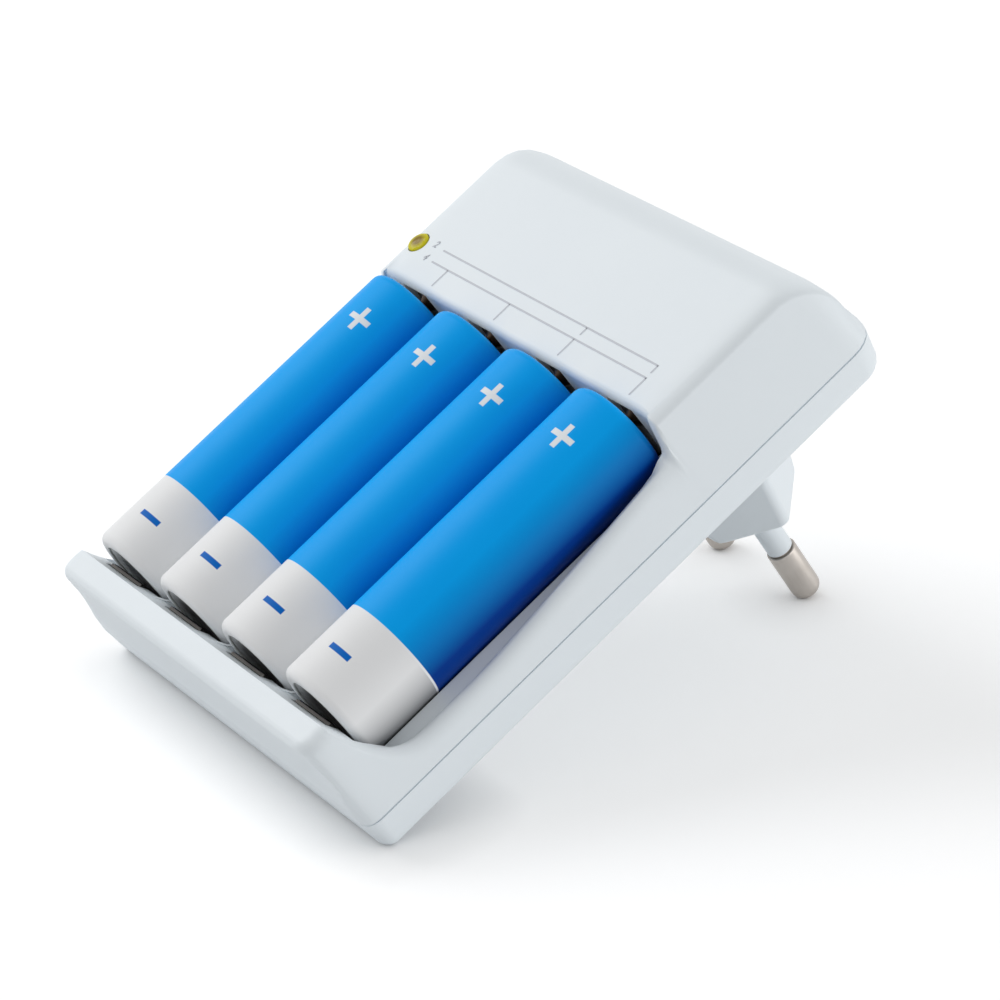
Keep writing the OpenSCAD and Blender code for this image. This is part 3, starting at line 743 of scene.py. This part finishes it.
def make_lamp():
    low, high = (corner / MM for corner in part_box("status_led"))
    centre = (low + high) / 2
    face = high.y - HEAD_FACE_Y
    turns = [math.radians(90 * k / DOME_STEPS) for k in range(DOME_STEPS + 1)]
    dome = [(LAMP_R * math.cos(t), face + LAMP_DOME * math.sin(t)) for t in turns]
    outline = [
        (0, 0), (LAMP_FLANGE_R, 0), (LAMP_FLANGE_R, LAMP_FLANGE_H), (LAMP_BODY_R, LAMP_FLANGE_H),
        (LAMP_BODY_R, face - 2 * LAMP_COLLAR), (LAMP_R, face - LAMP_COLLAR), *dome,
    ]
    lamp = turned("status_lamp", (centre.x, high.y, centre.z), (0, -1, 0), outline, LAMP_STEPS)
    dress(lamp, "lamp_resin", lamp_resin(centre), "status_led")


# Printed diagram on the head face: which places to fill for two cells and for four

INK = 0.03
LINE_W = 0.26
LINE_ROUND = 0.4
LINE_SEGMENTS = 3
LINE_TWO_Z = -4.7
LINE_FOUR_Z = -6.8
TICK_FOOT_Z = -9.75
TICK_TWO_FOOT_Z = -6.0
LINE_START_X = -24.25
TICKS_FOUR_X = (-20.2, -5.2, 9.7, 25.6)
TICKS_TWO_X = (9.9, 25.5)
NUMERAL_H = 1.1
NUMERAL_TYPE = 1.4
NUMERAL_SLANT = 0.2
NUMERAL_BOLD = 0.02
NUMERALS = (("2", "numeral_two", -26.4, -4.35), ("4", "numeral_four", -26.0, -6.6))


def ink_bar(x0, x1, z0, z1):
    """Adds a bar of ink to the mesh in edit mode: a plane with round corners, raised by the film."""
    centre = Vector(((x0 + x1) / 2, HEAD_FACE_Y, (z0 + z1) / 2)) * MM
    bpy.ops.mesh.primitive_plane_add(size=MM, location=centre, rotation=(math.pi / 2, 0, 0))
    bpy.ops.transform.resize(value=(x1 - x0, 1, z1 - z0), center_override=centre)
    bpy.ops.mesh.bevel(offset=LINE_ROUND * LINE_W * MM, segments=LINE_SEGMENTS, affect="VERTICES")
    bpy.ops.mesh.extrude_region_move(TRANSFORM_OT_translate={"value": (0, -INK * MM, 0)})


def make_diagram(ink):
    half = LINE_W / 2
    bpy.ops.object.select_all(action="DESELECT")
    bpy.ops.mesh.primitive_plane_add(size=MM)
    diagram = bpy.context.active_object
    diagram.name = "charge_diagram"
    edit(diagram)
    bpy.ops.mesh.delete(type="VERT")
    ink_bar(LINE_START_X, TICKS_TWO_X[-1] + half, LINE_TWO_Z - half, LINE_TWO_Z + half)
    ink_bar(LINE_START_X, TICKS_FOUR_X[-1] + half, LINE_FOUR_Z - half, LINE_FOUR_Z + half)
    for x in TICKS_FOUR_X:
        ink_bar(x - half, x + half, TICK_FOOT_Z, LINE_FOUR_Z)
    for x in TICKS_TWO_X:
        ink_bar(x - half, x + half, TICK_TWO_FOOT_Z, LINE_TWO_Z)
    turn_outward()
    leave_edit()
    dress(diagram, "white_plastic", ink)


def make_numeral(figure, name, x, z, ink):
    bpy.ops.object.select_all(action="DESELECT")
    bpy.ops.object.text_add()
    text = bpy.context.active_object
    text.name = name
    text.data.body = figure
    text.data.size = NUMERAL_TYPE * NUMERAL_H * MM
    text.data.align_x = "CENTER"
    text.data.shear = NUMERAL_SLANT
    text.data.offset = NUMERAL_BOLD * NUMERAL_H * MM
    bpy.ops.object.convert(target="MESH")
    text.rotation_euler = (math.pi / 2, 0, 0)
    text.location = Vector((x, HEAD_FACE_Y, z - NUMERAL_H / 2)) * MM
    bpy.ops.object.transform_apply(location=True, rotation=True, scale=True)
    edit(text)
    weld()
    bpy.ops.mesh.extrude_region_move(TRANSFORM_OT_translate={"value": (0, -INK * MM, 0)})
    turn_outward()
    leave_edit()
    dress(text, "white_plastic", ink)


# Stage: pale floor that the charger leans on, soft light, camera; floor and lamps in metres

FLOOR_R = 0.9
FLOOR_STEPS = 96
FLOOR_FADE = 0.55
FLOOR_FADE_WIDTH = 0.5
FLOOR_GLOW = 0.355
FLOOR_PAPERS = ((0.84, 0.845, 0.85, 1), (0.86, 0.865, 0.87, 1))
# Painted contact shadow: the glow is less this near to the charger, in millimetres
PAINTED_CONTACT_SHADOW_REACH = 9.0
PAINTED_CONTACT_SHADOW_SAMPLES = 4
SKY_VALUE = 0.48
# Lamp places in steps to the right, up from the floor and along it to the head
KEY_FROM = (-0.66, 0.68, -0.32)
FILL_FROM = (0.74, 0.12, 0.66)
LAMP_AWAY = 1.2
KEY_SIZE = (0.8, 0.8)
FILL_SIZE = (1.2, 0.26)
KEY_VALUE = 0.50
FILL_VALUE = 0.38


def floor_plane():
    """Normal of the floor and a point on it: it touches the lower rear edge and the pins' noses."""
    body_low, _ = (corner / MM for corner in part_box("rear_cover"))
    _, pin_high = (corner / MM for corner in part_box("plug_pin_right"))
    edge = Vector((0, REAR_FACE_Y - REAR_EDGE, body_low.z + REAR_LEAN + REAR_EDGE))
    nose = Vector((0, pin_high.y - PIN_NOSE, PIN_LINE_Z - PIN_R + PIN_NOSE))
    run = nose - edge
    tilt = math.asin((PIN_NOSE - REAR_EDGE) / run.length)
    square = Vector((0, -run.z, run.y)).normalized()
    normal = square * math.cos(tilt) + run.normalized() * math.sin(tilt)
    return normal, edge - normal * REAR_EDGE


def floor_finish():
    """Pale floor: shows its shadow, glows up to the white backdrop with a painted contact shadow where
    the glow dims near the charger, clear far off and from below.
    """
    finish = Finish("pale_floor")
    paper = finish.mix(finish.noise(60), *FLOOR_PAPERS)
    diffuse = finish.node("ShaderNodeBsdfDiffuse", None, {"Color": paper})
    # Painted contact shadow: the glow dims where the charger is near
    glow_share_by_painted_contact_shadow = finish.node(
        "ShaderNodeAmbientOcclusion", {"samples": PAINTED_CONTACT_SHADOW_SAMPLES},
        {"Distance": PAINTED_CONTACT_SHADOW_REACH * MM}, output="AO",
    )
    strength = FLOOR_GLOW * glow_share_by_painted_contact_shadow * finish.seen()
    glow = finish.node("ShaderNodeEmission", None, {"Strength": strength})
    lit = finish.node("ShaderNodeAddShader", None, {0: diffuse, 1: glow})
    clear = finish.node("ShaderNodeBsdfTransparent")
    behind = finish.node("ShaderNodeNewGeometry", output="Backfacing")
    place = {0: finish.place()}
    away = finish.node("ShaderNodeVectorMath", {"operation": "LENGTH"}, place, output="Value")
    gone = behind.most(away.past(FLOOR_FADE, FLOOR_FADE_WIDTH))
    shown = finish.node("ShaderNodeMixShader", None, {0: gone, 1: lit, 2: clear})
    finish.feed(finish.tree.nodes["Material Output"].inputs["Surface"], shown)
    return finish.material


def make_floor():
    normal, spot = floor_plane()
    bpy.ops.object.select_all(action="DESELECT")
    bpy.ops.mesh.primitive_circle_add(vertices=FLOOR_STEPS, radius=FLOOR_R, fill_type="NGON")
    floor = bpy.context.active_object
    floor.name = "pale_floor"
    turn = Vector((0, 0, 1)).rotation_difference(normal)
    floor.matrix_world = Matrix.Translation(spot * MM) @ turn.to_matrix().to_4x4()
    bpy.ops.object.transform_apply(location=True, rotation=True, scale=True)
    floor.data.materials.append(floor_finish())
    return normal


def facing(toward, up):
    """Turn of a camera or lamp that looks away from toward, with its top near up."""
    back = toward.normalized()
    right = up.cross(back).normalized()
    return Matrix((right, back.cross(right), back)).transposed().to_4x4()


def soft_lamp(name, toward, up, size, value):
    """Lamp that lights a facing white surface to value."""
    data = bpy.data.lights.new(name, "AREA")
    data.shape = "RECTANGLE"
    data.size, data.size_y = size
    data.energy = value * math.pi ** 2 * LAMP_AWAY ** 2
    lamp = new_object(name, data)
    place = CAMERA_AIM * MM + toward.normalized() * LAMP_AWAY
    lamp.matrix_world = Matrix.Translation(place) @ facing(toward, up)


def make_world():
    world = bpy.data.worlds.new("backdrop")
    bpy.context.scene.world = world
    world.use_nodes = True
    backdrop = Tree(world.node_tree)
    strength = SKY_VALUE + (1 - SKY_VALUE) * backdrop.seen()
    background = world.node_tree.nodes["Background"]
    background.inputs["Color"].default_value = (1, 1, 1, 1)
    backdrop.feed(background.inputs["Strength"], strength)


def make_camera():
    data = bpy.data.cameras.new("picture_camera")
    data.lens = CAMERA_LENS
    data.sensor_width = SENSOR
    data.clip_start = CLIP_START * MM
    camera = new_object("picture_camera", data)
    turn = facing(CAMERA_PLACE - CAMERA_AIM, CAMERA_UP)
    camera.matrix_world = Matrix.Translation(CAMERA_PLACE * MM) @ turn
    bpy.context.scene.camera = camera


def make_stage():
    make_camera()
    make_world()
    normal = make_floor()
    right = Vector((1, 0, 0))
    along = normal.cross(right)
    lamps = (
        ("key_lamp", KEY_FROM, KEY_SIZE, KEY_VALUE),
        ("fill_lamp", FILL_FROM, FILL_SIZE, FILL_VALUE),
    )
    for name, steps, size, value in lamps:
        toward = right * steps[0] + normal * steps[1] + along * steps[2]
        soft_lamp(name, toward, normal, size, value)


# The charger

plastic = white_plastic()
pin_nickel = plated("pin_nickel", (168, 161, 154), (196, 190, 184), 0.3, (1, 6, 1), 0.30)
# Leaf springs: nickel painted near black, a painted shade for the gaps behind the lip where they sit
spring_nickel_painted_shade = plated("spring_nickel_painted_shade", (46, 45, 44), (70, 68, 66), 0.25, (4, 1, 1), 0.40)
tinned = plated("tinned_plate", (84, 68, 56), (128, 108, 92), 0.4, (1, 1, 4), 0.24)
zinc = plated("zinc_plate", (140, 142, 148), (186, 188, 194), 0.3, (1, 1, 1), 0.28)
ink = printing_ink()

make_front(plastic)
rear = moulded_copy("rear_cover", "rear_moulding", REAR_SHARP)
dress(rear, "white_plastic", plastic, "rear_cover")
make_lamp()
screws = moulded_copy("cover_screws", "rear_screws", SCREW_SHARP)
dress(screws, "screw_steel", zinc, "cover_screws")
for i in range(1, CELLS + 1):
    spring = moulded_copy(f"negative_contact_{i}", f"leaf_spring_{i}", CONTACT_SHARP)
    dress(spring, "nickel", spring_nickel_painted_shade, f"negative_contact_{i}")
    plate = moulded_copy(f"positive_contact_{i}", f"contact_plate_{i}", CONTACT_SHARP)
    dress(plate, "contact_plate", tinned, f"positive_contact_{i}")
make_cells()
make_pins(pin_nickel, plastic)
make_diagram(ink)
for numeral in NUMERALS:
    make_numeral(*numeral, ink)

can_sleeve = mottled("capacitor_sleeve", (28, 40, 58), (38, 54, 76), 0.8, 0.30)
black_resin = mottled("black_resin", (30, 30, 32), (44, 44, 46), 0.2, 0.55)
inside = {
    "circuit_board": mottled("solder_mask", (36, 92, 50), (48, 110, 60), 1.2, 0.35),
    "transformer_core": mottled("ferrite", (44, 44, 47), (62, 62, 64), 0.3, 0.6),
    "transformer_bobbin": mottled("winding_tape", (214, 178, 62), (230, 198, 84), 1.5, 0.4),
    "mains_capacitor": can_sleeve,
    "output_capacitor": can_sleeve,
    "controller_chip": black_resin,
    "rectifier_diodes": black_resin,
    "fuse_resistor": mottled("resistor_coat", (104, 136, 116), (122, 154, 132), 0.3, 0.45),
}
for name, finish in inside.items():
    nodes[name].data.materials.clear()
    nodes[name].data.materials.append(finish)

make_stage()
bpy.context.scene.view_settings.view_transform = "Standard"
